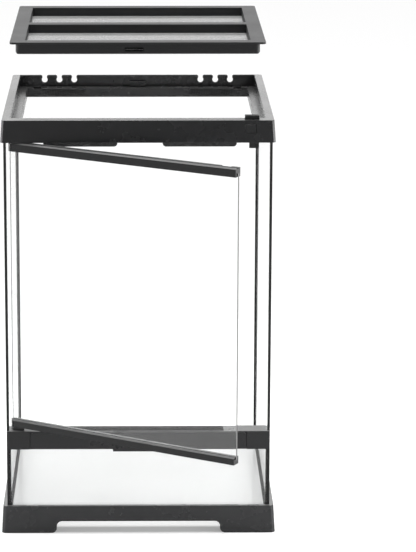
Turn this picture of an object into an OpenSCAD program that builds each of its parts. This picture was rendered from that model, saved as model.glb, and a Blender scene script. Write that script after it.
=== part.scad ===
// Front-opening glass terrarium with a hinged door, a vent bar and a lift-off screen lid.
// X runs to the right, Y to the back and Z up. The origin is under the middle of the base.

/* [Glass box] */
// Outside width of the glass box
glass_w = 300; // [280:5:400]
// Outside depth of the glass box
glass_d = 300; // [280:5:400]
// Height of the side and back panes
glass_h = 444; // [380:4:560]
// Thickness of the upright panes
glass_t = 3; // [2.5:0.25:4]
// Thickness of the floor pane
floor_t = 4; // [3:0.5:6]
// Leg of the silicone fillet round the floor
bead = 2; // [1.6:0.2:3]
// Leg of the upright silicone fillets
upright_bead = 1.6; // [1.2:0.2:3]
// Thickness of the black strips on the front edges of the side panes
strip_t = 0.8; // [0.5:0.1:1.2]

/* [Base frame] */
// Height of the base frame
base_h = 32; // [28:1:40]
// How far its foot stands out beyond the glass
base_lip = 6.5; // [4:0.5:8]
// How far its walls lean in from foot to rim
base_draft = 1.75; // [1:0.25:2.5]
// Bevel on its upright edges
base_bevel = 3.2; // [1.2:0.2:4]
// Height of the seat that the panes stand on
base_seat = 18; // [17:0.5:22]
// Thickness of the seat plate
seat_t = 2.5; // [2:0.25:3]
// How far the seat reaches in beyond the upright panes
base_ledge = 11; // [8:1:16]
// Thickness of the walls of the hollow underside
base_wall = 2.8; // [2:0.2:3.4]
// Height above the ground of the lower edge of the seat's inner skirt
base_skirt = 9; // [8:0.5:12]
// Height of the arches
arch_h = 13.8; // [11:0.2:14.4]
// Radius of the arches' shoulders and toes
arch_r = 6; // [4:0.5:6.5]
// Length of each foot, from the outer corner to the arch's toe
foot_len = 57; // [45:1:75]

/* [Vent bar] */
// Height of the bar's underside above the ground
bar_z = 98.8; // [80:0.2:140]
// Height of the bar
bar_h = 21.5; // [18:0.5:26]
// Depth of the bar
bar_d = 22.5; // [20:0.5:30]
// How far the bar stands out in front of the glass
bar_proud = 2.5; // [2:0.1:3]
// Gap between the bar's ends and the outside of the glass
bar_inset = 0.5; // [0.3:0.1:1]
// Thickness of the bar's top, back and inner walls
bar_wall = 2.4; // [2:0.2:3]
// Length of each end block
bar_end = 26; // [24:0.5:32]
// How deep the lower front pane stands in the bar's groove
bar_groove = 2.5; // [2:0.5:4]
// Thickness of the snap-in fascia
fascia_t = 1.6; // [1.2:0.1:1.8]
// Radius of the fascia's upper corners
fascia_r = 5; // [2:0.5:8]
// Width of the fascia's pull tab
tab_w = 58; // [40:2:80]
// How far the pull tab hangs below the bar
tab_drop = 2.6; // [1:0.2:4]
// Length of the ventilation grille
grille_len = 196; // [150:4:216]
// Height of the grille above the bar
grille_h = 3.8; // [3:0.2:5]
// Depth of the grille from front to back
grille_d = 4.4; // [3.6:0.2:5]
// Distance of the grille behind the bar's front face
grille_set = 3.8; // [3:0.1:5]
// Pitch of the grille's slots
grille_pitch = 4; // [3:0.5:6]
// Width of one slot
grille_slot = 1.6; // [1:0.1:2]

/* [Top frame] */
// Height of the top frame
frame_h = 25; // [22:0.5:30]
// How far the top frame laps down over the panes
frame_lap = 7; // [5:0.5:8]
// How far its lower edge stands out beyond the glass
frame_lip = 3.5; // [3.5:0.25:6]
// How far its walls lean in from the lower edge to the rim
frame_draft = 1.75; // [1:0.25:2]
// Bevel on its upright edges
frame_bevel = 2.6; // [1:0.2:2.8]
// Width of the front rim, which houses the latch
front_rim = 16; // [15:0.5:20]
// Width of the side rims
side_rim = 9; // [8:0.5:12]
// Thickness of the back wall with the keyholes
back_rim = 3; // [2.5:0.25:4]
// Thickness of the rims' top plate
rim_plate = 2.4; // [2:0.2:3]
// Thickness of the rims' inner wall
rim_web = 2.2; // [1.8:0.2:2.4]
// Thickness of the ledge that carries the lid
ledge_t = 4; // [3.6:0.2:5]
// Thickness of the lip round the opening
lip_t = 2.2; // [1.8:0.2:3]
// Width of the back ledge, from the back wall inwards
back_ledge = 12.25; // [11:0.25:14]
// Thickness of the stiffening ribs
rib_t = 2; // [1.5:0.25:3]

/* [Cable inlets] */
// Distance from the outside of the glass to the outermost keyhole
key_edge = 37; // [32:1:44]
// Distance between keyholes
key_pitch = 18; // [16:0.5:20]
// Diameter of a keyhole
key_d = 7.1; // [6:0.1:8]
// Width of a keyhole's neck
key_neck = 5.5; // [4.6:0.1:6]
// Depth of the keyholes' centres below the rim
key_drop = 5.7; // [5:0.1:7]
// Radius at the mouth of a keyhole
key_mouth = 2; // [1:0.25:2.5]
// Width of the wire holes in the ledge and the slider
inlet_w = 6; // [5:0.25:7]
// Travel of the inlet sliders
inlet_travel = 9; // [8:0.5:10]
// Thickness of a slider's plate
slider_t = 1.9; // [1.5:0.1:2.2]
// Thickness of a slider's front flange
flange_t = 1.6; // [1.2:0.1:2]
// Height of a slider's front flange
flange_h = 8; // [6:0.5:9]
// Material past the last wire hole at each end of a slider
slider_end = 10; // [8:0.5:12]

/* [Lid] */
// Height of the lid
lid_h = 14; // [13:0.5:16]
// Gap between the lid and the rim round it
lid_gap = 0.3; // [0.2:0.1:0.6]
// How far the lid's flange stands out beyond its skirt
lid_flange = 6.4; // [6:0.1:7]
// Thickness of the lid's top
lid_top = 2.3; // [1.8:0.1:3]
// Thickness of the skirt and of the walls round the windows
lid_wall = 2.2; // [1.8:0.1:2.4]
// Width of the lid's rim, from its edge to a window
lid_rim = 16.5; // [14:0.5:20]
// Width of the crossbar between the windows
lid_bar = 17; // [12:1:24]
// Radius of the lid's corners
lid_r = 4; // [1:0.5:5]
// Radius of the skirt's lower corners, seen from the front
skirt_r = 3; // [1:0.5:4]
// Depth of the screens below the lid's top
screen_drop = 10; // [8:0.5:10.5]
// Thickness of the screen cloth
screen_t = 0.4; // [0.3:0.05:0.8]
// How far the cloth reaches past a window, under its wall
screen_lap = 2.2; // [1.8:0.1:5]
// Number of openings across a screen
screen_cols = 12; // [6:1:12]
// Number of openings from a screen's front to its back
screen_rows = 5; // [3:1:8]
// Width of the bars between a screen's openings
screen_bar = 1.6; // [1:0.2:3]
// Thickness of the retainer under the cloth
retainer_t = 2.6; // [2:0.2:3]
// Width of the catch slots in the skirt
slot_w = 20.8; // [16:0.4:26]
// Height of the catch slots
slot_h = 4.4; // [3.8:0.1:4.8]
// Depth of the slots' upper edge below the lid's top
slot_drop = 6.5; // [5.8:0.1:6.8]
// How far the lid is lifted clear of the frame
lid_raise = 85; // [0:5:120]

/* [Lid catches] */
// Distance of the front catch to the right of the middle
front_catch_x = -4.2; // [-8:0.2:8]
// Side clearance of a catch in its slot
catch_gap = 0.4; // [0.3:0.1:0.8]
// Thickness of a catch
catch_t = 2.4; // [2:0.1:2.8]
// Travel of a catch
catch_travel = 2.6; // [2:0.1:3]
// Width of the guide rib under a catch
catch_rib = 2.6; // [2:0.2:4]

/* [Door] */
// Angle that the door stands open
door_open = 30.5; // [0:0.5:95]
// Distance of the door's front face behind the glass's front plane
door_set = 1.5; // [1:0.1:1.6]
// Thickness of the door's rails
rail_t = 10.4; // [9.8:0.2:11]
// Height of the top rail
top_rail_h = 10; // [8.6:0.2:12]
// Height of the bottom rail
bottom_rail_h = 8.6; // [7:0.1:10]
// Gap between the top rail and the frame above it
door_top_gap = 0.6; // [0.5:0.1:1.2]
// Gap between the bottom rail and the grille under it
door_sill_gap = 0.4; // [0.4:0.1:1]
// Gap between the door's free end and the side pane
door_end_gap = 1.5; // [1.2:0.1:3]
// Distance of the hinge axis from the outside of the side pane
hinge_in = 10.5; // [9.5:0.25:14]
// Diameter of the hinge pins
pin_d = 4; // [3:0.25:4.5]
// Radial running clearance of the pins in the rails
pin_gap = 0.1; // [0.05:0.01:0.1]
// Thickness of the door's pane
door_glass_t = 3; // [2.5:0.25:3]
// Thickness of the rails' wall in front of the pane
rail_front = 3.1; // [2.4:0.1:3.1]
// How far the pane's free edge stands out beyond the rails
pane_proud = 1; // [-0.5:0.1:1.1]
// Height of the chamfer along the rails' upper front edge
rail_bevel = 1.4; // [0.6:0.2:2]
// How deep the pane stands in the top rail
rail_grip = 4.3; // [3.5:0.1:4.5]
// How deep the pane stands in the bottom rail
foot_grip = 3.4; // [2.8:0.1:3.6]
// Distance from the outside of the glass to the door stops
stop_edge = 39.5; // [30:0.5:45]
// Length of a door stop
stop_len = 83; // [60:1:90]
// How far the stop on the hinge side is set towards the middle
stop_shift = 4.5; // [0:0.5:8]
// How far the door stops hang below the top frame
stop_drop = 7.4; // [5:0.1:9]
// Radius of the stops' lower corners
stop_r = 4; // [2:0.5:4.5]
// Gap between the closed door and its stops
stop_gap = 0.4; // [0.3:0.1:0.6]

/* [Latch] */
// Distance from the outside of the glass to the middle of the thumb tab
latch_edge = 22.8; // [21:0.1:28]
// Width of the thumb tab
latch_w = 16; // [12:0.5:18]
// Depth of the thumb tab
latch_d = 7.5; // [6:0.25:7.5]
// Height of the thumb tab above the rim
latch_rise = 4.3; // [3:0.1:6]
// Width of the bolt
bolt_w = 11; // [8:0.5:12]
// Thickness of the bolt
bolt_t = 3; // [2.6:0.1:3]
// How far the bolt hangs below the top frame
bolt_drop = 8.6; // [8.2:0.1:8.8]
// Thickness of the bolt's locking tip
tip_t = 1.5; // [1.2:0.1:1.6]
// Height of the locking tip
tip_h = 1.6; // [1.5:0.1:2]
// Sideways clearance of the bolt in the rail's notch
notch_gap = 0.6; // [0.4:0.1:1]
// Clearance of the sliding pieces in their guides
slide_gap = 0.3; // [0.2:0.05:0.4]
// Width of the latch housing's cover plate
cover_w = 11.5; // [9:0.5:14]
// Height of the cover plate
cover_h = 9.2; // [7:0.2:10]
// Gap round the cover plate
cover_gap = 0.5; // [0.2:0.1:0.8]

/* [Hidden] */

$fn = 64;
plastic = "#2b2c2e";
glass_tint = "#cfe4e0";
over = 1;                                   // how far cutters run past a face

// Glass box
gx = glass_w/2;
gy = glass_d/2;
ix = gx - glass_t;                          // inner faces of the side panes
iy = gy - glass_t;
glass_top = base_seat + glass_h;
floor_top = base_seat + floor_t;
pane_front = -gy + strip_t;                 // front edges of the side panes

// Base frame
seat_in = glass_t + base_ledge;             // reach of the seat from the outside of the glass
toe_x = gx + base_lip - foot_len;           // toes of the arches
toe_y = gy + base_lip - foot_len;

// Vent bar
bar_top = bar_z + bar_h;
bar_front = -gy - bar_proud;
bar_back = bar_front + bar_d;
bar_x = gx - bar_inset;
end_x = bar_x - bar_end;                    // inner ends of the end blocks
front_glass_top = bar_z + bar_groove;
grille_front = bar_front + grille_set;
grille_top = bar_top + grille_h;

// Top frame
frame_z = glass_top - frame_lap;
frame_top = frame_z + frame_h;
rim_x = gx + frame_lip - frame_draft;       // half width of the rim at its top
rim_y = gy + frame_lip - frame_draft;
well_x = rim_x - side_rim;                  // well that the lid drops into
well_y0 = -rim_y + front_rim;
well_y1 = rim_y - back_rim;
split_y = well_y0 + 0.2;                    // back end of the frame's front piece
ledge_z = frame_top - lid_h;                // top of the ledge
ledge_under = ledge_z - ledge_t;
plate_under = frame_top - rim_plate;

// Lid
lid_x = well_x - lid_gap;
lid_y0 = well_y0 + lid_gap;
lid_y1 = well_y1 - lid_gap;
lid_d = lid_y1 - lid_y0;
lid_yc = (lid_y0 + lid_y1)/2;
skirt_x = lid_x - lid_flange;
skirt_d = lid_d - 2*lid_flange;
lid_z = frame_top + lid_raise;              // top of the lid as it stands
win_x = lid_x - lid_rim;
win_d = (lid_d - 2*lid_rim - lid_bar)/2;
win_y = (win_d + lid_bar)/2;                // middle of a window from the lid's middle
cell_x = 2*win_x/screen_cols;
cell_y = win_d/screen_rows;

// Opening inside the ledge
open_x = skirt_x - lid_wall;
open_y0 = lid_y0 + lid_flange + lid_wall;
open_y1 = well_y1 - back_ledge;

// Cable inlets
key_x = gx - key_edge - 2*key_pitch;         // innermost keyhole
key_xs = [key_x, key_x + key_pitch, key_x + 2*key_pitch];
comb_x0 = key_x - key_pitch/2;
comb_x1 = key_x + 2.5*key_pitch;
comb_z = frame_top - key_drop - key_d/2 - 3;
slider_x0 = key_x - inlet_w/2 - slider_end;
slider_x1 = key_x + 2*key_pitch + inlet_w/2 + 1;
inlet_x0 = slider_x0 - slide_gap;
inlet_x1 = slider_x1 + inlet_travel + slide_gap;
slider_top = ledge_z - 0.2;
slider_under = slider_top - slider_t;
recess_z = slider_under - 0.2;
hole_y1 = iy - 0.6;
hole_y0 = hole_y1 - 5.4;
flange_y = open_y1 - 0.2;

// Door
hinge_x = -gx + hinge_in;
door_y0 = -gy + door_set;                   // front face of the closed door
door_y1 = door_y0 + rail_t;
hinge_y = door_y0 + rail_t/2;
door_end = ix - door_end_gap;
top_rail_z1 = frame_z - door_top_gap;
top_rail_z0 = top_rail_z1 - top_rail_h;
bottom_rail_z0 = grille_top + door_sill_gap;
bottom_rail_z1 = bottom_rail_z0 + bottom_rail_h;
pane_y0 = door_y0 + rail_front;
pane_y1 = pane_y0 + door_glass_t;
door_glass_z0 = bottom_rail_z1 - foot_grip;
door_glass_z1 = top_rail_z0 + rail_grip;
door_glass_x0 = hinge_x - 3;
pad_top = bottom_rail_z0 - 0.3;
stop_y0 = door_y1 + stop_gap;
stop_y1 = well_y0 - 0.1;

// Latch
latch_x = gx - latch_edge;
latch_y1 = well_y0 - rim_web - slide_gap;   // back face of the latch
latch_y0 = latch_y1 - latch_d;
bolt_x1 = latch_x + latch_w/2;
bolt_x0 = bolt_x1 - bolt_w;
bolt_y0 = latch_y1 - bolt_t;
bolt_z0 = frame_z - bolt_drop;
notch_floor = bolt_z0 - 0.4;
cover_x = latch_x - latch_w/2 + 6;
cover_z = frame_top - 9.3;

// Lid catches
catch_w = slot_w - 2*catch_gap;
catch_top = lid_h - slot_drop - 1;          // above the ledge
catch_z = catch_top - catch_t;
catch_len = lid_flange - slide_gap - 0.05;

// A box from one corner to the opposite one
module span(a, b) translate(a) cube(b - a);

// Upright trapezium, the section of a leaning block
module trapezium(w, h, lean)
    polygon([[-w/2, 0], [w/2, 0], [w/2 - lean, h], [lean - w/2, h]]);

// One leaning prism that runs along the given direction
module leaning_prism(turn, w, run, h, lean)
    rotate([0, 0, turn]) rotate([90, 0, 0]) translate([0, 0, -run])
        linear_extrude(2*run) trapezium(w, h, lean);

// Block whose four walls lean inwards
module leaning_block(w, d, h, lean) intersection() {
    leaning_prism(0, w, d, h, lean);
    leaning_prism(90, d, w, h, lean);
}

// The same block with its upright edges bevelled
module bevelled_block(w, d, h, lean, bevel) intersection() {
    leaning_block(w, d, h, lean);
    leaning_prism(45, (w + d - 2*bevel)/sqrt(2), w + d, h, lean*sqrt(2));
    leaning_prism(-45, (w + d - 2*bevel)/sqrt(2), w + d, h, lean*sqrt(2));
}

// Rectangle with round corners
module round_rect(w, d, r) {
    square([w - 2*r, d], center = true);
    square([w, d - 2*r], center = true);
    for (sx = [-1, 1], sy = [-1, 1]) translate([sx*(w/2 - r), sy*(d/2 - r)]) circle(r);
}

// Rectangle from the origin with its two lower corners round
module round_foot(w, h, r) {
    translate([0, r]) square([w, h - r]);
    translate([r, 0]) square([w - 2*r, h]);
    for (x = [r, w - r]) translate([x, r]) circle(r);
}

// ---- Base frame ----

// Arch with round shoulders above and flared toes below
module arch_outline(half, h, r) difference() {
    union() {
        translate([-half + r, -over]) square([2*(half - r), h + over]);
        for (s = [-1, 1]) difference() {
            translate([s*(half - r/2) - r/2, -over]) square([r, r + over]);
            translate([s*half, r]) circle(r);
        }
    }
    for (s = [-1, 1]) difference() {
        translate([s*(half - 1.5*r) - r/2, h - r]) square([r, r + over]);
        translate([s*(half - 2*r), h - r]) circle(r);
    }
}

module base_solid() difference() {
    bevelled_block(2*(gx + base_lip), 2*(gy + base_lip), base_h, base_draft, base_bevel);
    span([-gx, -gy, base_seat], [gx, gy, base_h + over]);
    span([seat_in - gx, seat_in - gy, -over], [gx - seat_in, gy - seat_in, base_h]);
    // hollow underside, with a cross rib behind each toe
    difference() {
        span([base_wall - gx - base_lip, base_wall - gy - base_lip, -over],
             [gx + base_lip - base_wall, gy + base_lip - base_wall, base_seat - seat_t]);
        span([seat_in - gx - base_wall, seat_in - gy - base_wall, base_skirt],
             [gx - seat_in + base_wall, gy - seat_in + base_wall, base_seat]);
        for (s = [-1, 1]) {
            translate([s*(toe_x + 2) - rib_t/2, -2*gy, -over]) cube([rib_t, 4*gy, base_seat]);
            translate([-2*gx, s*(toe_y + 2) - rib_t/2, -over]) cube([4*gx, rib_t, base_seat]);
        }
    }
    translate([0, 2*gy, 0]) rotate([90, 0, 0]) linear_extrude(4*gy)
        arch_outline(toe_x, arch_h, arch_r);
    translate([-2*gx, 0, 0]) rotate([90, 0, 90]) linear_extrude(4*gx)
        arch_outline(toe_y, arch_h, arch_r);
}

// Straight rail of the base: s is -1 for the front or left one
module base_cross_rail(s) color(plastic) intersection() {
    base_solid();
    translate([0, s*(gy - seat_in + 2*gy), 0]) cube([8*gx, 4*gy, 4*base_h], center = true);
}
module base_side_rail(s) color(plastic) mirror([s < 0 ? 1 : 0, 0, 0]) intersection() {
    base_solid();
    span([gx - seat_in, seat_in - gy, -over], [2*gx, gy - seat_in, 2*base_h]);
}
module base_front() base_cross_rail(-1);
module base_back() base_cross_rail(1);
module base_left() base_side_rail(-1);
module base_right() base_side_rail(1);

// ---- Panes and seals ----

module floor_glass() color(glass_tint, 0.4)
    span([-ix, -iy, base_seat], [ix, iy, floor_top]);

module back_glass() color(glass_tint, 0.4)
    span([-gx, iy, base_seat], [gx, gy, glass_top]);

module side_pane(s) color(glass_tint, 0.4)
    translate([s*(gx - glass_t/2) - glass_t/2, pane_front, base_seat])
        cube([glass_t, iy - pane_front, glass_h]);
module left_glass() side_pane(-1);
module right_glass() side_pane(1);

module front_glass() color(glass_tint, 0.4)
    span([-ix, -gy, base_seat], [ix, -iy, front_glass_top]);

module edge_strip(s) color("#1c1c1c")
    translate([s*(gx - glass_t/2) - glass_t/2, -gy, base_seat])
        cube([glass_t, strip_t, glass_h]);
module edge_strip_left() edge_strip(-1);
module edge_strip_right() edge_strip(1);

// Fillet round the floor's edge
module bead_floor() color("#161616") difference() {
    span([-ix, -iy, floor_top], [ix, iy, floor_top + bead]);
    translate([0, 0, floor_top]) leaning_block(2*(ix - bead), 2*(iy - bead), bead, 0.4 - bead);
    translate([0, 0, floor_top + bead - 0.01])
        cube([2*(ix - 0.4), 2*(iy - 0.4), 1], center = true);
}

// Upright fillet between two panes, in the corner given by the two signs
module corner_bead(sx, sy, z1) color("#161616")
    translate([sx*ix, sy*iy, floor_top + bead]) mirror([sx > 0 ? 1 : 0, 0, 0])
        mirror([0, sy > 0 ? 1 : 0, 0]) linear_extrude(z1 - floor_top - bead)
            polygon([[0, 0], [upright_bead, 0], [upright_bead, 0.4], [0.4, upright_bead],
                [0, upright_bead]]);
module bead_back_left() corner_bead(-1, 1, ledge_under - 0.5);
module bead_back_right() corner_bead(1, 1, ledge_under - 0.5);
module bead_front_left() corner_bead(-1, -1, bar_z);
module bead_front_right() corner_bead(1, -1, bar_z);

// ---- Vent bar ----

// Pad with a round end that carries the lower pivot
module hinge_pad() {
    translate([hinge_x, hinge_y, bar_top]) cylinder(h = pad_top - bar_top, d = rail_t);
    translate([hinge_x, hinge_y - rail_t/2, bar_top]) cube([9.5, rail_t, pad_top - bar_top]);
}

module vent_bar() color(plastic) difference() {
    union() {
        span([-bar_x, bar_front, bar_z], [bar_x, bar_back, bar_top]);
        hinge_pad();
    }
    // the side panes and their strips pass behind the bar's ends
    for (s = [-1, 1]) translate([s*(ix - slide_gap + 5) - 5, -gy, bar_z - over])
        cube([10, bar_d, bar_h + 2*over]);
    // groove over the lower front pane
    span([-ix, -gy, bar_z - over], [ix, -iy, front_glass_top]);
    // hollow inside, open below, with the pane's inner flange left standing
    span([-end_x + bar_wall, -iy + bar_wall, bar_z - over],
         [end_x - bar_wall, bar_back - bar_wall, bar_top - bar_wall]);
    span([-end_x + bar_wall, -gy + 0.6, front_glass_top + bar_wall],
         [end_x - bar_wall, bar_back - bar_wall, bar_top - bar_wall]);
    // recess for the fascia
    span([-end_x, bar_front - over, bar_z - over],
         [end_x, bar_front + fascia_t, bar_top - 0.9]);
    // slot under the grille
    span([-grille_len/2 + 3, grille_front + 0.8, bar_top - bar_wall - over],
         [grille_len/2 - 3, grille_front + grille_d - 0.8, bar_top + over]);
    // air slots in the back wall
    for (x = [-end_x + 11 : 8 : end_x - 10])
        span([x, bar_back - bar_wall - over, bar_z + 6], [x + 3, bar_back + over, bar_top - 5]);
    translate([hinge_x, hinge_y, bar_z + 8]) cylinder(h = bar_h, d = pin_d);
}

module vent_fascia() color(plastic) {
    w = end_x - slide_gap;
    z0 = bar_z + slide_gap;
    z1 = bar_top - 0.9 - slide_gap;
    translate([0, bar_front + fascia_t, 0]) rotate([90, 0, 0]) linear_extrude(fascia_t) {
        translate([-w, z0]) square([2*w, z1 - z0 - fascia_r]);
        translate([-w + fascia_r, z1 - 2*fascia_r]) square([2*(w - fascia_r), 2*fascia_r]);
        for (s = [-1, 1]) translate([s*(w - fascia_r), z1 - fascia_r]) circle(fascia_r);
        translate([-tab_w/2, bar_z - tab_drop]) square([tab_w, tab_drop + 1]);
    }
}

module vent_grille() color("#202122") difference() {
    union() {
        translate([0, grille_front + grille_d, bar_top]) rotate([90, 0, 0])
            linear_extrude(grille_d) polygon([[-grille_len/2, 0], [grille_len/2, 0],
                [grille_len/2 - 1.2, grille_h], [1.2 - grille_len/2, grille_h]]);
        span([-grille_len/2 + 3, grille_front + 0.8, bar_top - bar_wall],
             [grille_len/2 - 3, grille_front + grille_d - 0.8, bar_top]);
    }
    for (x = [6 - grille_len/2 : grille_pitch : grille_len/2 - 6])
        span([x, grille_front + 1.4, bar_top - bar_wall - over],
             [x + grille_slot, grille_front + grille_d - 1.4, grille_top + over]);
}

// ---- Top frame ----

// Keyhole outline, centred on the hole, with a neck up to the rim
module keyhole() {
    circle(d = key_d);
    translate([-key_neck/2, 0]) square([key_neck, key_drop + over]);
    for (s = [-1, 1]) difference() {
        translate([s*(key_neck + key_mouth)/2 - key_mouth/2, key_drop - key_mouth])
            square([key_mouth, key_mouth + over]);
        translate([s*(key_neck/2 + key_mouth), key_drop - key_mouth]) circle(key_mouth);
    }
}

module wire_holes(y0, y1, z0, z1) for (x = key_xs)
    span([x - inlet_w/2, y0, z0], [x + inlet_w/2, y1, z1]);

// Side stop that the closed door meets, with round lower corners
module door_stop() translate([gx - stop_edge - stop_len, stop_y1, frame_z - stop_drop])
    rotate([90, 0, 0]) linear_extrude(stop_y1 - stop_y0)
        round_foot(stop_len, ledge_z - frame_z + stop_drop, stop_r);

// Carrier of a lid catch; the catch slides over it towards the skirt
module catch_carrier() difference() {
    span([-catch_w/2, 0, 0], [catch_w/2, lid_flange + lid_gap - 2.6, catch_z - 0.2]);
    span([-catch_rib/2 - slide_gap, -over, catch_z - 2],
         [catch_rib/2 + slide_gap, lid_flange + over, catch_z]);
}

module frame_solid() difference() {
    union() {
        // outer walls and top plate
        difference() {
            translate([0, 0, frame_z]) bevelled_block(2*(gx + frame_lip), 2*(gy + frame_lip),
                frame_h, frame_draft, frame_bevel);
            span([-gx, -gy, frame_z - over], [gx, gy, plate_under]);
            span([-well_x, well_y0, frame_z - over], [well_x, well_y1, frame_top + over]);
        }
        // back wall
        span([-gx, well_y1, ledge_under], [gx, gy, frame_top]);
        // inner wall of the front and side rims
        difference() {
            span([-well_x - rim_web, well_y0 - rim_web, ledge_under],
                 [well_x + rim_web, well_y1, frame_top]);
            span([-well_x, well_y0, ledge_under - over], [well_x, gy, frame_top + over]);
        }
        // ledge and the lip under it
        span([-well_x - rim_web, well_y0 - rim_web, ledge_under], [well_x + rim_web, gy, ledge_z]);
        span([-open_x - lip_t, open_y0 - lip_t, frame_z], [open_x + lip_t, open_y1 + lip_t, ledge_z]);
        // ribs that stop the side panes
        for (s = [-1, 1], k = [-3 : 3])
            translate([s*(gx + well_x)/2 - (gx - well_x)/2, k*gy/4 - rib_t/2, ledge_under])
                cube([gx - well_x, rib_t, plate_under - ledge_under + 0.1]);
        // ribs in the front rim
        for (x = [-0.6*gx, -0.3*gx, 0, 0.3*gx, 0.6*gx])
            span([x - rib_t/2, -gy, frame_z + 3], [x + rib_t/2, well_y0 - rim_web/2, frame_top - 1]);
        // guides of the latch
        for (x = [latch_x - latch_w/2 - slide_gap - rib_t, latch_x + latch_w/2 + slide_gap])
            span([x, -gy, frame_z + 3], [x + rib_t, well_y0 - rim_web/2, frame_top - 1]);
        // boss of the upper pivot
        translate([hinge_x, hinge_y, frame_z - 0.3]) cylinder(h = frame_h - 1, d = pin_d + 6);
        span([hinge_x - rib_t/2, -gy, frame_z + 3],
             [hinge_x + rib_t/2, well_y0 - rim_web/2, frame_top - 1]);
        // door stops
        door_stop();
        translate([stop_shift, 0, 0]) mirror([1, 0, 0]) door_stop();
        // catch carriers
        translate([front_catch_x, well_y0, ledge_z]) catch_carrier();
        translate([0, well_y1, ledge_z]) mirror([0, 1, 0]) catch_carrier();
    }
    // opening
    span([-open_x, open_y0, frame_z - over], [open_x, open_y1, frame_top]);
    // slot and guide space of the latch
    span([latch_x - latch_w/2 - slide_gap, latch_y0 - slide_gap, frame_z - over],
         [latch_x + latch_w/2 + slide_gap, latch_y1 + slide_gap, frame_top + over]);
    // seat of the cover plate
    span([cover_x - cover_w/2 - cover_gap, -rim_y - 5, cover_z - cover_h/2 - cover_gap],
         [cover_x + cover_w/2 + cover_gap, -gy - 0.9, cover_z + cover_h/2 + cover_gap]);
    // bore of the upper pin
    translate([hinge_x, hinge_y, frame_z - over]) cylinder(h = 15, d = pin_d);
    for (s = [0, 1]) mirror([s, 0, 0]) {
        for (x = key_xs) translate([x, gy + 20, frame_top - key_drop]) rotate([90, 0, 0])
            linear_extrude(40) keyhole();
        // recess of the inlet slider and the wire holes under it
        span([inlet_x0, open_y1 - over, recess_z], [inlet_x1, iy, ledge_z + over]);
        wire_holes(hole_y0, hole_y1, ledge_under - over, ledge_z);
    }
}

// Regions that share the frame out between its straight pieces
module comb_region() span([comb_x0, well_y1 - over, comb_z], [comb_x1, gy + 20, frame_top + over]);
module inlet_region() span([inlet_x0, open_y1, ledge_under], [inlet_x1, iy, recess_z]);

module frame_front() color(plastic) intersection() {
    frame_solid();
    span([-2*gx, -2*gy, 0], [2*gx, split_y, 2*frame_top]);
}
module front_ledge() color(plastic) intersection() {
    frame_solid();
    span([-open_x, split_y, 0], [open_x, open_y0, 2*frame_top]);
}
module frame_side(s) color(plastic) intersection() {
    frame_solid();
    mirror([s < 0 ? 1 : 0, 0, 0]) span([open_x, split_y, 0], [2*gx, open_y1, 2*frame_top]);
}
module frame_left() frame_side(-1);
module frame_right() frame_side(1);
module frame_back() color(plastic) difference() {
    intersection() {
        frame_solid();
        span([-2*gx, open_y1, 0], [2*gx, 2*gy, 2*frame_top]);
    }
    for (s = [0, 1]) mirror([s, 0, 0]) {
        comb_region();
        inlet_region();
    }
}
module cable_comb(s) color(plastic) mirror([s < 0 ? 1 : 0, 0, 0]) intersection() {
    frame_solid();
    comb_region();
}
module cable_comb_left() cable_comb(-1);
module cable_comb_right() cable_comb(1);
module inlet_floor(s) color(plastic) mirror([s < 0 ? 1 : 0, 0, 0]) difference() {
    inlet_region();
    wire_holes(hole_y0, hole_y1, ledge_under - over, ledge_z);
}
module inlet_floor_left() inlet_floor(-1);
module inlet_floor_right() inlet_floor(1);

// Cover plate, flush with the leaning front wall
module latch_cover() color("#323335") intersection() {
    translate([0, 0, frame_z]) leaning_block(2*(gx + frame_lip), 2*(gy + frame_lip),
        frame_h, frame_draft);
    span([cover_x - cover_w/2, -rim_y - 5, cover_z - cover_h/2],
         [cover_x + cover_w/2, -gy - 0.9, cover_z + cover_h/2]);
}

// ---- Inlet sliders ----

module inlet_slider(s) color("#242526") mirror([s < 0 ? 1 : 0, 0, 0]) difference() {
    union() {
        span([slider_x0, flange_y - flange_t, slider_under],
             [slider_x1, iy - slide_gap - 0.1, slider_top]);
        span([slider_x0, flange_y - flange_t, slider_top - flange_h],
             [slider_x1, flange_y, slider_top]);
    }
    wire_holes(hole_y0, iy, slider_under - over, slider_top + over);
    // finger ribs
    for (x = [slider_x0 + 3 : 3 : slider_x1 - 3])
        span([x, flange_y - flange_t - over, slider_top - flange_h + 1.5],
             [x + 1.2, flange_y - flange_t + 0.9, slider_top - 1.5]);
}
module inlet_slider_left() inlet_slider(-1);
module inlet_slider_right() inlet_slider(1);

// ---- Lid catches ----

module lid_catch() color("#242526") {
    span([-catch_w/2, slide_gap, catch_z], [catch_w/2, slide_gap + catch_len, catch_top]);
    span([-catch_rib/2, slide_gap, catch_z - 1.7],
         [catch_rib/2, slide_gap + catch_len - 0.5, catch_z]);
}
module lid_catch_front() translate([front_catch_x, well_y0, ledge_z]) lid_catch();
module lid_catch_rear() translate([0, well_y1, ledge_z]) mirror([0, 1, 0]) lid_catch();

// ---- Hinge pins ----

module hinge_pin_top() color("#8a8c8e")
    translate([hinge_x, hinge_y, door_glass_z1 + 1.2])
        cylinder(h = frame_z + 14 - door_glass_z1 - 1.2, d = pin_d);
module hinge_pin_bottom() color("#8a8c8e")
    translate([hinge_x, hinge_y, bar_z + 8])
        cylinder(h = door_glass_z0 - 1.2 - bar_z - 8, d = pin_d);

// ---- Latch ----

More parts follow.
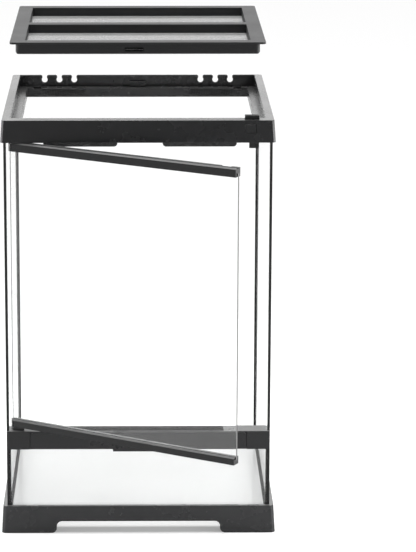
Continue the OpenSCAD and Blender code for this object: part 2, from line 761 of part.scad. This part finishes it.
module latch() color("#1a1a1b") {
    difference() {
        span([latch_x - latch_w/2, latch_y0, ledge_z],
             [latch_x + latch_w/2, latch_y1, frame_top + latch_rise]);
        // finger grooves across the thumb tab
        for (k = [1 : 3]) span([latch_x - latch_w, latch_y0 + k*latch_d/4 - 0.4,
            frame_top + latch_rise - 0.6], [latch_x + latch_w, latch_y0 + k*latch_d/4 + 0.4,
            frame_top + latch_rise + over]);
    }
    span([bolt_x0, bolt_y0, bolt_z0 + tip_h], [bolt_x1, latch_y1, ledge_z]);
    span([bolt_x0, bolt_y0, bolt_z0], [bolt_x1, bolt_y0 + tip_t, bolt_z0 + tip_h]);
}

// ---- Door ----

// Turns the closed door about its pins
module swung() translate([hinge_x, hinge_y, 0]) rotate([0, 0, -door_open])
    translate([-hinge_x, -hinge_y, 0]) children();

// Rail with a round hinge end and a chamfer along its upper front edge
module rail(h) difference() {
    union() {
        translate([hinge_x, hinge_y, 0]) cylinder(h = h, d = rail_t);
        span([hinge_x, door_y0, 0], [door_end, door_y1, h]);
    }
    translate([hinge_x - rail_t, door_y0, h - rail_bevel]) rotate([90, 0, 90])
        linear_extrude(2*gx) polygon([[-over, -over*rail_bevel/2], [-over, rail_bevel + over],
            [2 + over*2/rail_bevel, rail_bevel + over]]);
}

module door_top_rail() color(plastic) swung() difference() {
    translate([0, 0, top_rail_z0]) rail(top_rail_h);
    span([door_glass_x0, pane_y0, top_rail_z0 - over], [door_end + over, pane_y1, door_glass_z1]);
    translate([hinge_x, hinge_y, door_glass_z1 + 0.9])
        cylinder(h = top_rail_h, r = pin_d/2 + pin_gap);
    // shallow channel along the top
    span([hinge_x + 8, pane_y0 + 0.4, top_rail_z1 - 1.2], [door_end + over, pane_y1 - 0.2,
        top_rail_z1 + over]);
    // notch for the bolt, open at the back above a low ridge
    span([bolt_x0 - notch_gap, bolt_y0 - slide_gap, notch_floor],
         [bolt_x1 + notch_gap, door_y1 + over, top_rail_z1 + over]);
    span([bolt_x0 - notch_gap, bolt_y0 - slide_gap, top_rail_z0 - over],
         [bolt_x1 + notch_gap, bolt_y0 + tip_t + 0.4, top_rail_z1]);
}

module door_bottom_rail() color(plastic) swung() difference() {
    translate([0, 0, bottom_rail_z0]) rail(bottom_rail_h);
    span([door_glass_x0, pane_y0, door_glass_z0], [door_end + over, pane_y1,
        bottom_rail_z1 + over]);
    translate([hinge_x, hinge_y, bottom_rail_z0 - over])
        cylinder(h = door_glass_z0 - 0.9 - bottom_rail_z0 + over, r = pin_d/2 + pin_gap);
}

module door_glass() color(glass_tint, 0.4) swung()
    span([door_glass_x0, pane_y0, door_glass_z0],
         [door_end + pane_proud, pane_y1, door_glass_z1]);

// ---- Lid ----

// Rectangles of the two windows, grown by a margin
module windows(margin) for (s = [-1, 1]) translate([0, s*win_y])
    square([2*(win_x + margin), win_d + 2*margin], center = true);

module lid_place() translate([0, lid_yc, lid_z]) children();

module lid_frame() color(plastic) lid_place() difference() {
    union() {
        translate([0, 0, -lid_top]) linear_extrude(lid_top)
            round_rect(2*lid_x, lid_d, lid_r);
        intersection() {
            translate([0, 0, -lid_h]) linear_extrude(lid_h - lid_top) difference() {
                round_rect(2*skirt_x, skirt_d, lid_r);
                square([2*(skirt_x - lid_wall), skirt_d - 2*lid_wall], center = true);
            }
            translate([-skirt_x, lid_d, -lid_h]) rotate([90, 0, 0]) linear_extrude(2*lid_d)
                round_foot(2*skirt_x, lid_h, skirt_r);
        }
        translate([0, 0, -screen_drop]) linear_extrude(screen_drop - lid_top) windows(lid_wall);
    }
    translate([0, 0, -lid_h - over]) linear_extrude(lid_h + 2*over) windows(0);
    for (s = [-1, 1]) translate([s < 0 ? front_catch_x : 0, s*(skirt_d/2 - lid_wall/2),
        -slot_drop - slot_h/2]) cube([slot_w, lid_wall + 2, slot_h], center = true);
}

module lid_retainer() color(plastic) lid_place()
    translate([0, 0, -screen_drop - screen_t - retainer_t]) linear_extrude(retainer_t)
        difference() {
            square([2*(skirt_x - lid_wall), skirt_d - 2*lid_wall], center = true);
            windows(0);
        }

module lid_screen(s) color("#7d8083") lid_place()
    translate([0, s*win_y, -screen_drop - screen_t]) linear_extrude(screen_t) difference() {
        square([2*(win_x + screen_lap), win_d + 2*screen_lap], center = true);
        for (i = [0 : screen_cols - 1], j = [0 : screen_rows - 1])
            translate([(i + 0.5)*cell_x - win_x, (j + 0.5)*cell_y - win_d/2])
                square([cell_x - screen_bar, cell_y - screen_bar], center = true);
    }
module lid_screen_front() lid_screen(-1);
module lid_screen_rear() lid_screen(1);

base_front();
base_back();
base_left();
base_right();
floor_glass();
back_glass();
left_glass();
right_glass();
front_glass();
bead_floor();
bead_back_left();
bead_back_right();
bead_front_left();
bead_front_right();
edge_strip_left();
edge_strip_right();
vent_bar();
vent_fascia();
vent_grille();
frame_front();
front_ledge();
frame_back();
frame_left();
frame_right();
cable_comb_left();
cable_comb_right();
inlet_floor_left();
inlet_floor_right();
latch_cover();
hinge_pin_top();
hinge_pin_bottom();
latch();
inlet_slider_left();
inlet_slider_right();
lid_catch_rear();
lid_catch_front();
door_glass();
door_top_rail();
door_bottom_rail();
lid_frame();
lid_retainer();
lid_screen_front();
lid_screen_rear();
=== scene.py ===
"""Looks of the glass terrarium: camera, studio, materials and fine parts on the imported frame."""

import math

import bpy
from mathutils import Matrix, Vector


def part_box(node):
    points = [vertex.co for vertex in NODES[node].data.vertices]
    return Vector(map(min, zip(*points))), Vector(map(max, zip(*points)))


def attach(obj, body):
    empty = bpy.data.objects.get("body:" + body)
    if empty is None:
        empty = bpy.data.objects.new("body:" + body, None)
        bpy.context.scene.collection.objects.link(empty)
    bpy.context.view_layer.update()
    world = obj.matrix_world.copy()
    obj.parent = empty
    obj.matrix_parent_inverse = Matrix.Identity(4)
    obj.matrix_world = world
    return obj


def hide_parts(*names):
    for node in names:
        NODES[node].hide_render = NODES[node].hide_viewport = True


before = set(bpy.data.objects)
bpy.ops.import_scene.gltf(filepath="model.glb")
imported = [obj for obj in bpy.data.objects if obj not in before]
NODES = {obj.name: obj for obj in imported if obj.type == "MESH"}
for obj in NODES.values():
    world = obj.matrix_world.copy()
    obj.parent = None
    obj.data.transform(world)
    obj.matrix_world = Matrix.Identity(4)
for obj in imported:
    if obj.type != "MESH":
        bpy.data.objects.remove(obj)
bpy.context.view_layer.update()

MM = 0.001

# ---- Camera: a long lens, a little above the lid and looking slightly down ----
CAMERA_PLACE = (-0.0071, -3.0738, 1.0297)
CAMERA_PITCH = 12.445  # degrees below the horizon
CAMERA_YAW = -0.445  # degrees
LENS = 174.63
SENSOR = 36
SHIFT_X = 0.1014  # the terrarium stands left of the middle of the picture
SHIFT_Y = -0.13
FAR = 100  # how far the camera sees, in metres

# ---- Studio: a white room, dimmer towards the camera, with three softboxes ----
BACK_LEVEL = 1.55
SIDE_LEVEL = 0.8
FRONT_LEVEL = 0.2
# Place from the back wall (0) to the wall behind the camera (1), and level there
ROOM_LEVELS = [(0.0, BACK_LEVEL), (0.3, BACK_LEVEL), (0.55, SIDE_LEVEL), (1.0, FRONT_LEVEL)]
# Name, place, target, width, height and power of each softbox
SOFTBOXES = [
    ("lamp_top", (0.0, 0.3, 2.6), (0, 0, 0.3), 2.4, 2.4, 22),
    ("lamp_left", (-1.2, 0.1, 0.35), (0, 0, 0.25), 0.8, 0.7, 7),
    ("lamp_right", (1.2, -0.2, 0.35), (0, 0, 0.25), 1.1, 0.7, 12),
]

# ---- Floor ----
FLOOR_SIZE = 12.0  # half its width
FOOTPRINT = 0.1565  # half the width of the base
RAIL_WIDTH = 0.02  # width of the base's rails, which the floor darkens under
FLOOR_FADE = 0.6  # distance over which the floor's brightness fades outwards
EDGE_AT = FOOTPRINT / FLOOR_FADE
RAIL_AT = (FOOTPRINT - RAIL_WIDTH) / FLOOR_FADE
# Place from the middle (0) to FLOOR_FADE (1), and the paper's colour there; the darker band under
# the base's rails is a painted shadow
FLOOR_COLOURS_WITH_PAINTED_SHADOW = [
    (RAIL_AT - 0.01, 0.8),
    (RAIL_AT, 0.5),
    (EDGE_AT - 0.005, 0.5),
    (EDGE_AT, 0.8),
]
# The same, for the glow that lifts the seen floor to white; it is painted lower under the base's
# rails as a painted shadow, and painted stronger near the base as a painted brightening that fades
# outwards
FLOOR_GLOW_WITH_PAINTED_LIGHT = [
    (RAIL_AT - 0.01, 0.62),
    (RAIL_AT, 0.28),
    (EDGE_AT - 0.005, 0.28),
    (EDGE_AT + 0.01, 0.62),
    (EDGE_AT + 0.2, 0.40),
    (1.0, 0.16),
]

# ---- Materials ----
NOISE_LOW = 0.3  # a noise seldom leaves the range between these two
NOISE_HIGH = 0.7
PLASTIC_IOR = 1.42
GLASS_IOR = 1.5
SOFT_IOR = 1.2  # for surfaces that hardly shine
# Slopes over which plastic's painted top light fades in on faces that look upwards
UP_FROM = 0.35  # a face counts as looking upwards from this slope
UP_FULL = 0.7
PANE_FACE = 0.6  # a face that looks further from the pane's own way is its edge
GLASS_TINT = (0.994, 0.998, 0.997)
GLASS_PASSED = (0.95, 0.96, 0.957)  # how much lamplight a pane lets through
OPAL_PASSED = (0.85, 0.855, 0.85)
# Where the Mix node, which shows only some of its sockets, keeps its colours
MIX_COLOUR_A = 6
MIX_COLOUR_B = 7
MIX_COLOUR_OUT = 2

# ---- Sizes of the fine parts ----
WIRE_PITCH = 1.7 * MM
WIRE_D = 0.22 * MM
WIRE_WAVE = 0.09 * MM  # how far a wire swings over and under its neighbours
EDGE = 0.35 * MM  # rounding of moulded edges
SAME_POINT = 2e-6  # points closer than this are one
FLAT = math.radians(0.5)  # faces that meet at less than this are one
SHARP = math.radians(38)  # edges that turn by more than this are rounded

DOOR_ANGLE = math.radians(30.5)  # how far the door stands open at rest
DOOR_FACING = (-math.sin(DOOR_ANGLE), -math.cos(DOOR_ANGLE), 0.0)

BASE_PIECES = ["base_front", "base_back", "base_left", "base_right"]
TOP_PIECES = [
    "frame_front",
    "front_ledge",
    "frame_back",
    "frame_left",
    "frame_right",
    "cable_comb_left",
    "cable_comb_right",
]
# The nodes of each material
FINISH = {
    "opal": ["floor_glass"],
    "glass": ["back_glass", "left_glass", "right_glass", "front_glass"],
    "door": ["door_glass"],
    "silicone": [
        "bead_floor",
        "bead_back_left",
        "bead_back_right",
        "bead_front_left",
        "bead_front_right",
    ],
    "tape": ["edge_strip_left", "edge_strip_right"],
    "bar": ["vent_bar", "vent_fascia"],
    "grille": ["vent_grille"],
    "cover": ["latch_cover"],
    "trim": [
        "latch",
        "inlet_slider_left",
        "inlet_slider_right",
        "lid_catch_rear",
        "lid_catch_front",
    ],
    "frame": ["inlet_floor_left", "inlet_floor_right"],
    "rail": ["door_top_rail", "door_bottom_rail"],
    "lid": ["lid_frame", "lid_retainer"],
    "pin": ["hinge_pin_top", "hinge_pin_bottom"],
    "wire": ["lid_screen_front", "lid_screen_rear"],
}
# Rounding of the edges of moulded nodes that aren't joined to others, in millimetres
ROUNDED = {
    "vent_bar": 0.3,
    "vent_fascia": 0.3,
    "door_top_rail": 0.15,
    "door_bottom_rail": 0.15,
    "lid_frame": 0.4,
    "latch": 0.4,
    "latch_cover": 0.35,
}
# How far sealant and edge strips stand proud of their nodes, in millimetres
SWOLLEN = {
    "bead_back_left": 0.45,
    "bead_back_right": 0.45,
    "edge_strip_left": 0.3,
    "edge_strip_right": 0.3,
}


def put_in_scene(name, data):
    """A new object in the scene, with this mesh, light or camera."""
    obj = bpy.data.objects.new(name, data)
    bpy.context.scene.collection.objects.link(obj)
    return obj


def make_camera():
    data = bpy.data.cameras.new("camera")
    data.lens = LENS
    data.sensor_width = SENSOR
    data.shift_x = SHIFT_X
    data.shift_y = SHIFT_Y
    data.clip_end = FAR
    camera = put_in_scene("camera", data)
    camera.location = CAMERA_PLACE
    camera.rotation_euler = (math.radians(90 - CAMERA_PITCH), 0, math.radians(CAMERA_YAW))
    bpy.context.scene.camera = camera


# ---- Node helpers ----


class Tree:
    """A node tree with short calls for adding and linking nodes."""

    def __init__(self, owner):
        owner.use_nodes = True
        self.tree = owner.node_tree
        self.tree.nodes.clear()

    def add(self, kind, **inputs):
        """A new node. Each input is named as its socket, with _ for a space."""
        node = self.tree.nodes.new(kind)
        for name, value in inputs.items():
            self.put(node.inputs[name.replace("_", " ")], value)
        return node

    def put(self, socket, value):
        if isinstance(value, bpy.types.NodeSocket):
            self.tree.links.new(value, socket)
        else:
            socket.default_value = value

    def math(self, operation, a, b=0.0):
        node = self.tree.nodes.new("ShaderNodeMath")
        node.operation = operation
        self.put(node.inputs[0], a)
        self.put(node.inputs[1], b)
        return node.outputs[0]

    def ramp(self, value, stops):
        """A colour ramp. Each stop is a place and a colour, or a place and a grey level."""
        node = self.tree.nodes.new("ShaderNodeValToRGB")
        self.put(node.inputs[0], value)
        ramp = node.color_ramp
        while len(ramp.elements) < len(stops):
            ramp.elements.new(1.0)
        for element, (place, level) in zip(ramp.elements, stops):
            element.position = place
            colour = level if isinstance(level, tuple) else (level,) * 3
            element.color = (*colour, 1)
        return node.outputs[0]

    def map_range(self, value, low, high, out_low, out_high):
        node = self.tree.nodes.new("ShaderNodeMapRange")
        for socket, v in zip(node.inputs, (value, low, high, out_low, out_high)):
            self.put(socket, v)
        return node.outputs[0]

    def shades(self, noise, dark, light):
        """A colour that wanders from dark to light with the noise."""
        return self.ramp(noise, [(NOISE_LOW, dark), (NOISE_HIGH, light)])

    def wander(self, noise, low, high):
        """A number that wanders from low to high with the noise."""
        return self.map_range(noise, NOISE_LOW, NOISE_HIGH, low, high)

    def place(self, kind="Object"):
        return self.add("ShaderNodeTexCoord").outputs[kind]

    def noise(self, scale, detail, roughness, coordinates=None):
        if coordinates is None:
            coordinates = self.place()
        node = self.add(
            "ShaderNodeTexNoise",
            Vector=coordinates,
            Scale=scale,
            Detail=detail,
            Roughness=roughness,
        )
        return node.outputs["Fac"]

    def bump(self, height, strength, distance):
        node = self.add("ShaderNodeBump", Height=height, Strength=strength, Distance=distance)
        return node.outputs["Normal"]

    def mix_shaders(self, amount, a, b):
        node = self.tree.nodes.new("ShaderNodeMixShader")
        self.put(node.inputs[0], amount)
        self.put(node.inputs[1], a.outputs[0])
        self.put(node.inputs[2], b.outputs[0])
        return node

    def seen_ray(self):
        """1 for rays that show the background itself: from the camera, or through glass."""
        rays = self.add("ShaderNodeLightPath").outputs
        return self.math("MAXIMUM", rays["Is Camera Ray"], rays["Is Transmission Ray"])

    def finish(self, shader, kind="ShaderNodeOutputMaterial"):
        self.put(self.tree.nodes.new(kind).inputs["Surface"], shader.outputs[0])


# ---- Studio ----


def make_world():
    """The studio's light. Seen directly, the studio is plain white."""
    world = bpy.data.worlds.new("studio")
    bpy.context.scene.world = world
    t = Tree(world)
    axes = t.add("ShaderNodeSeparateXYZ", Vector=t.place("Generated")).outputs
    towards_camera = t.math("MULTIPLY", axes["Y"], -1.0)
    level = t.ramp(t.map_range(towards_camera, -1.0, 1.0, 0.0, 1.0), ROOM_LEVELS)
    glow = t.add("ShaderNodeBackground", Color=level, Strength=1.0)
    white = t.add("ShaderNodeBackground", Color=(1, 1, 1, 1), Strength=1.0)
    t.finish(t.mix_shaders(t.seen_ray(), glow, white), "ShaderNodeOutputWorld")


def make_lamps():
    for name, place, target, width, height, power in SOFTBOXES:
        data = bpy.data.lights.new(name, "AREA")
        data.shape = "RECTANGLE"
        data.size = width
        data.size_y = height
        data.energy = power
        lamp = put_in_scene(name, data)
        lamp.location = place
        aim = [b - a for a, b in zip(place, target)]
        lamp.rotation_euler = Vector(aim).to_track_quat("-Z", "Y").to_euler()


def make_floor():
    """A floor that reads as white all round, with a painted soft shadow under the base's rails and
    a painted brightening round the base that fades outwards.
    """
    s = FLOOR_SIZE
    mesh = bpy.data.meshes.new("floor")
    mesh.from_pydata([(-s, -s, 0), (s, -s, 0), (s, s, 0), (-s, s, 0)], [], [(0, 1, 2, 3)])
    floor = put_in_scene("floor", mesh)
    material = bpy.data.materials.new("floor_white")
    t = Tree(material)
    axes = t.add("ShaderNodeSeparateXYZ", Vector=t.place()).outputs
    from_middle = t.math(
        "MAXIMUM", t.math("ABSOLUTE", axes["X"]), t.math("ABSOLUTE", axes["Y"])
    )
    zone = t.map_range(from_middle, 0.0, FLOOR_FADE, 0.0, 1.0)
    paper = t.add("ShaderNodeBsdfDiffuse", Color=t.ramp(zone, FLOOR_COLOURS_WITH_PAINTED_SHADOW))
    strength = t.math("MULTIPLY", t.seen_ray(), t.ramp(zone, FLOOR_GLOW_WITH_PAINTED_LIGHT))
    glow = t.add("ShaderNodeEmission", Color=(1, 1, 1, 1), Strength=strength)
    both = t.add("ShaderNodeAddShader")
    t.put(both.inputs[0], paper.outputs[0])
    t.put(both.inputs[1], glow.outputs[0])
    t.finish(both)
    floor.data.materials.append(material)


# ---- Materials ----


def plastic(name, colour, roughness, grain=0.04, painted_top_light=0.0):
    """Charcoal moulded plastic: fine spark-eroded grain, faint flow marks and uneven gloss.

    painted_top_light is how pale the faces that look upwards are painted: a painted sheen for the
    light they catch from above."""
    material = bpy.data.materials.new(name)
    t = Tree(material)
    flow = t.noise(scale=9.0, detail=4.0, roughness=0.55)
    cloud = t.noise(scale=55.0, detail=3.0, roughness=0.6)
    fine = t.noise(scale=2600.0, detail=2.0, roughness=0.6)
    tone = t.math("ADD", t.math("MULTIPLY", flow, 0.6), t.math("MULTIPLY", cloud, 0.4))
    dark = tuple(c * 0.9 for c in colour)
    light = tuple(c * 1.12 for c in colour)
    shade = t.shades(tone, dark, light)
    # Faces that look upwards are painted paler: a painted sheen for the light from above.
    if painted_top_light:
        up = t.add("ShaderNodeSeparateXYZ", Vector=t.place("Normal")).outputs["Z"]
        mixed = t.add("ShaderNodeMix")
        mixed.data_type = "RGBA"
        t.put(mixed.inputs["Factor"], t.map_range(up, UP_FROM, UP_FULL, 0.0, 1.0))
        t.put(mixed.inputs[MIX_COLOUR_A], shade)
        t.put(mixed.inputs[MIX_COLOUR_B], t.shades(cloud, painted_top_light * 0.85, painted_top_light * 1.1))
        shade = mixed.outputs[MIX_COLOUR_OUT]
    shader = t.add(
        "ShaderNodeBsdfPrincipled",
        Base_Color=shade,
        Roughness=t.wander(tone, roughness - 0.04, roughness + 0.05),
        IOR=PLASTIC_IOR,
        Normal=t.bump(fine, grain, 0.08 * MM),
    )
    t.finish(shader)
    return material


def lamps_pass(t, body, passed):
    """The body's shader, but lamplight goes through it with the passed colour."""
    shadow = t.add("ShaderNodeLightPath").outputs["Is Shadow Ray"]
    through = t.add("ShaderNodeBsdfTransparent", Color=(*passed, 1))
    return t.mix_shaders(shadow, body, through)


def clear_glass(name, facing=None):
    """Float glass with the faintest waviness and smears; lamps shine through it.

    facing is the way the pane's faces look; its edges are ground to a pale frost."""
    material = bpy.data.materials.new(name)
    t = Tree(material)
    smear = t.noise(scale=14.0, detail=3.0, roughness=0.6)
    wave = t.noise(scale=3.0, detail=1.0, roughness=0.5)
    pane = t.add(
        "ShaderNodeBsdfPrincipled",
        Base_Color=(*GLASS_TINT, 1),
        Transmission_Weight=1.0,
        IOR=GLASS_IOR,
        Roughness=t.map_range(smear, 0.45, 0.85, 0.0, 0.015),
        Normal=t.bump(wave, 0.05, 0.4 * MM),
    )
    if facing is not None:
        frost = t.noise(scale=1500.0, detail=2.0, roughness=0.6)
        ground = t.add(
            "ShaderNodeBsdfPrincipled",
            Base_Color=t.shades(frost, 0.14, 0.20),
            Roughness=0.55,
            IOR=SOFT_IOR,
        )
        along = t.add("ShaderNodeVectorMath", Vector=t.place("Normal"))
        along.operation = "DOT_PRODUCT"
        along.inputs[1].default_value = facing
        turned = t.math("ABSOLUTE", along.outputs["Value"])
        pane = t.mix_shaders(t.math("LESS_THAN", turned, PANE_FACE), pane, ground)
    t.finish(lamps_pass(t, pane, GLASS_PASSED))
    return material


def opal_glass(name):
    """The floor pane, backed in white: a bright body under a clear, faintly wavy face."""
    material = bpy.data.materials.new(name)
    t = Tree(material)
    cloud = t.noise(scale=7.0, detail=3.0, roughness=0.5)
    wave = t.noise(scale=3.0, detail=1.0, roughness=0.5)
    shader = t.add(
        "ShaderNodeBsdfPrincipled",
        Base_Color=t.shades(cloud, 0.64, 0.68),
        Roughness=t.wander(cloud, 0.10, 0.16),
        IOR=GLASS_IOR,
        Normal=t.bump(wave, 0.05, 0.4 * MM),
    )
    t.finish(lamps_pass(t, shader, OPAL_PASSED))
    return material


def silicone(name):
    """Black sealant, smoothed by hand, so its gloss and surface wander."""
    material = bpy.data.materials.new(name)
    t = Tree(material)
    drag = t.noise(scale=60.0, detail=3.0, roughness=0.6)
    shader = t.add(
        "ShaderNodeBsdfPrincipled",
        Base_Color=t.shades(drag, 0.006, 0.010),
        Roughness=t.wander(drag, 0.4, 0.55),
        IOR=SOFT_IOR,
        Normal=t.bump(drag, 0.4, 0.6 * MM),
    )
    t.finish(shader)
    return material


def steel(name, level, roughness, along=(1, 1, 1)):
    """Drawn or turned steel with fine lines; along squeezes them on each axis."""
    material = bpy.data.materials.new(name)
    t = Tree(material)
    stretched = t.add("ShaderNodeMapping", Vector=t.place(), Scale=along).outputs[0]
    lines = t.noise(scale=900.0, detail=2.0, roughness=0.5, coordinates=stretched)
    shader = t.add(
        "ShaderNodeBsdfPrincipled",
        Metallic=1.0,
        Base_Color=t.shades(lines, level * 0.85, level),
        Roughness=t.wander(lines, roughness, roughness + 0.12),
        Normal=t.bump(lines, 0.15, 0.04 * MM),
    )
    t.finish(shader)
    return material


def make_materials():
    # The painted_top_light amounts set each plastic's painted sheen on faces that look upwards.
    return {
        "frame": plastic("frame_plastic", (0.015, 0.0152, 0.0160), 0.26, painted_top_light=0.07),
        "base": plastic("base_plastic", (0.033, 0.0336, 0.0352), 0.26, painted_top_light=0.12),
        "rail": plastic("rail_plastic", (0.009, 0.0092, 0.0098), 0.24, painted_top_light=0.17),
        "bar": plastic("bar_plastic", (0.013, 0.0133, 0.0142), 0.28, painted_top_light=0.17),
        "grille": plastic("grille_plastic", (0.005, 0.0052, 0.0055), 0.7),
        "cover": plastic("cover_plastic", (0.017, 0.0173, 0.0180), 0.3, painted_top_light=0.2),
        "lid": plastic("lid_plastic", (0.011, 0.0112, 0.012), 0.5, grain=0.6),
        "trim": plastic("trim_plastic", (0.007, 0.0072, 0.0075), 0.34, painted_top_light=0.06),
        "tape": plastic("tape_black", (0.008, 0.008, 0.008), 0.5),
        "glass": clear_glass("clear_glass"),
        "door": clear_glass("door_glass", facing=DOOR_FACING),
        "opal": opal_glass("opal_glass"),
        "silicone": silicone("black_silicone"),
        "pin": steel("pin_steel", 0.6, 0.22, along=(1, 1, 0.05)),
        "wire": steel("wire_steel", 0.36, 0.35),
    }


def dress(node, material):
    """Gives a node this one material. Its mesh stays as it is."""
    mesh = NODES[node].data
    if not mesh.materials:
        mesh.materials.append(material)
    for i in range(len(mesh.materials)):
        mesh.materials[i] = material


# ---- Moulded parts ----


def add_weld(piece):
    weld = piece.modifiers.new("weld", "WELD")
    weld.merge_threshold = SAME_POINT


def round_edges(piece, width=EDGE):
    """Real rounded edges on a moulded part, with its mesh left as it is."""
    add_weld(piece)
    flat = piece.modifiers.new("flat", "DECIMATE")
    flat.decimate_type = "DISSOLVE"
    flat.angle_limit = FLAT
    bevel = piece.modifiers.new("bevel", "BEVEL")
    bevel.width = width
    bevel.segments = 3
    bevel.limit_method = "ANGLE"
    bevel.angle_limit = SHARP
    bevel.use_clamp_overlap = False
    bevel.harden_normals = True


def moulded(name, body, nodes, material):
    """One moulding for the looks, made from the straight nodes that it is cut into."""
    parts = []
    for node in nodes:
        part = put_in_scene(name if not parts else f"{name}_cut", NODES[node].data.copy())
        add_weld(part)
        parts.append(part)
    whole = parts[0]
    for part in parts[1:]:
        join = whole.modifiers.new("join", "BOOLEAN")
        join.operation = "UNION"
        join.solver = "EXACT"
        join.object = part
    graph = bpy.context.evaluated_depsgraph_get()
    mesh = bpy.data.meshes.new_from_object(whole.evaluated_get(graph))
    whole.modifiers.clear()
    whole.data = mesh
    for part in parts[1:]:
        bpy.data.objects.remove(part)
    mesh.materials.clear()
    mesh.materials.append(material)
    for face in mesh.polygons:
        face.material_index = 0
    round_edges(whole)
    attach(whole, body)
    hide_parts(*nodes)


# ---- Wire cloth ----


def add_wire(points, faces, places, side):
    """Adds a four-sided tube through the places; side is the level axis across it."""
    half = WIRE_D / 2
    start = len(points)
    for x, y, z in places:
        for a, b in ((half, 0), (0, half), (-half, 0), (0, -half)):
            points.append((x + a * side[0], y + a * side[1], z + b))
    last = start + 4 * (len(places) - 1)
    for ring in range(start, last, 4):
        for j in range(4):
            n = (j + 1) % 4
            faces.append((ring + j, ring + n, ring + 4 + n, ring + 4 + j))
    faces.append(tuple(start + j for j in (3, 2, 1, 0)))
    faces.append(tuple(last + j for j in range(4)))


def wire_cloth(name, node, material):
    """Plain-woven cloth: each wire passes over and under the ones that cross it."""
    low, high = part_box(node)
    z = (low.z + high.z) / 2
    across = max(2, round((high.x - low.x) / WIRE_PITCH))
    along = max(2, round((high.y - low.y) / WIRE_PITCH))
    xs = [low.x + (i + 0.5) * (high.x - low.x) / across for i in range(across)]
    ys = [low.y + (j + 0.5) * (high.y - low.y) / along for j in range(along)]
    points, faces = [], []
    for i, x in enumerate(xs):
        places = [(x, y, z + WIRE_WAVE * (-1) ** (i + j)) for j, y in enumerate(ys)]
        add_wire(points, faces, places, side=(1, 0))
    for j, y in enumerate(ys):
        places = [(x, y, z - WIRE_WAVE * (-1) ** (i + j)) for i, x in enumerate(xs)]
        add_wire(points, faces, places, side=(0, -1))
    mesh = bpy.data.meshes.new(name)
    mesh.from_pydata(points, [], faces)
    mesh.materials.append(material)
    cloth = put_in_scene(name, mesh)
    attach(cloth, "lid")
    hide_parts(node)


# ---- The terrarium ----


def make_terrarium():
    finishes = make_materials()
    for finish, nodes in FINISH.items():
        for node in nodes:
            dress(node, finishes[finish])
    for node, width in ROUNDED.items():
        round_edges(NODES[node], width * MM)
    for node, amount in SWOLLEN.items():
        swell = NODES[node].modifiers.new("swell", "DISPLACE")
        swell.strength = amount * MM
        swell.mid_level = 0.0
    moulded("base_moulding", "terrarium", BASE_PIECES, finishes["base"])
    moulded("top_moulding", "terrarium", TOP_PIECES, finishes["frame"])
    wire_cloth("wire_cloth_front", "lid_screen_front", finishes["wire"])
    wire_cloth("wire_cloth_rear", "lid_screen_rear", finishes["wire"])


make_camera()
make_world()
make_lamps()
make_floor()
make_terrarium()

bpy.context.scene.view_settings.view_transform = "Standard"
